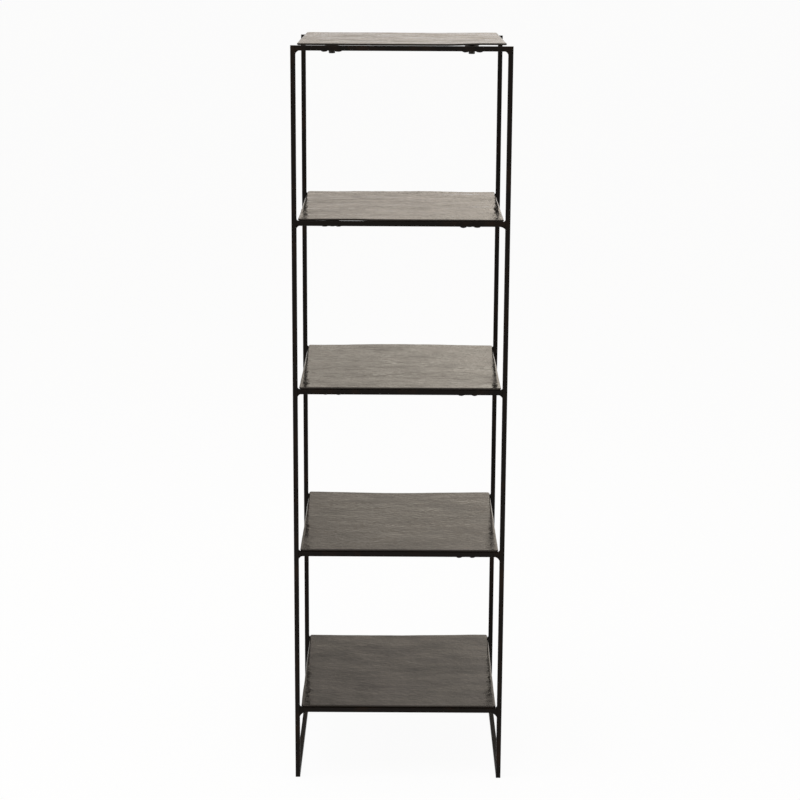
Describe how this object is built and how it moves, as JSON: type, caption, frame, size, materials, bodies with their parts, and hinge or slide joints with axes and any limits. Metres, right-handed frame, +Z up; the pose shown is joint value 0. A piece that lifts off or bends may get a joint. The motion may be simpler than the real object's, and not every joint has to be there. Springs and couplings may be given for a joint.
{
  "type": "open bookshelf",
  "caption": "Tall narrow open bookshelf: front and rear ladders of square black iron bar, joined by floor runners, carry square cast metal shelf plates bolted on from below.",
  "frame": {"origin": "on the floor, in the middle of the plan", "axes": "+X to the right as seen from the front, +Y from front to rear, +Z up"},
  "size_m": [0.4, 0.4, 1.414],
  "materials": {
    "black_iron": "satin black lacquer over welded iron bar",
    "cast_plate": "cast aluminium with a dark antique nickel finish",
    "dark_steel": "blackened steel"
  },
  "bodies": {
    "root": {"flat_washers": "dark_steel", "floor_runner_left": "black_iron", "floor_runner_right": "black_iron", "lock_washers": "dark_steel", "post_front_left": "black_iron", "post_front_right": "black_iron", "post_rear_left": "black_iron", "post_rear_right": "black_iron", "rail_front_1": "black_iron", "rail_front_2": "black_iron", "rail_front_3": "black_iron", "rail_front_4": "black_iron", "rail_front_5": "black_iron", "rail_rear_1": "black_iron", "rail_rear_2": "black_iron", "rail_rear_3": "black_iron", "rail_rear_4": "black_iron", "rail_rear_5": "black_iron", "rail_welds_1": "black_iron", "rail_welds_2": "black_iron", "rail_welds_3": "black_iron", "rail_welds_4": "black_iron", "rail_welds_5": "black_iron", "runner_welds": "black_iron", "shelf_bolts": "dark_steel", "shelf_plate_1": "cast_plate", "shelf_plate_2": "cast_plate", "shelf_plate_3": "cast_plate", "shelf_plate_4": "cast_plate", "shelf_plate_5": "cast_plate", "tab_front_left_1": "black_iron", "tab_front_left_2": "black_iron", "tab_front_left_3": "black_iron", "tab_front_left_4": "black_iron", "tab_front_left_5": "black_iron", "tab_front_right_1": "black_iron", "tab_front_right_2": "black_iron", "tab_front_right_3": "black_iron", "tab_front_right_4": "black_iron", "tab_front_right_5": "black_iron", "tab_rear_left_1": "black_iron", "tab_rear_left_2": "black_iron", "tab_rear_left_3": "black_iron", "tab_rear_left_4": "black_iron", "tab_rear_left_5": "black_iron", "tab_rear_right_1": "black_iron", "tab_rear_right_2": "black_iron", "tab_rear_right_3": "black_iron", "tab_rear_right_4": "black_iron", "tab_rear_right_5": "black_iron", "tab_welds_1": "black_iron", "tab_welds_2": "black_iron", "tab_welds_3": "black_iron", "tab_welds_4": "black_iron", "tab_welds_5": "black_iron"}
  },
  "joints": []
}
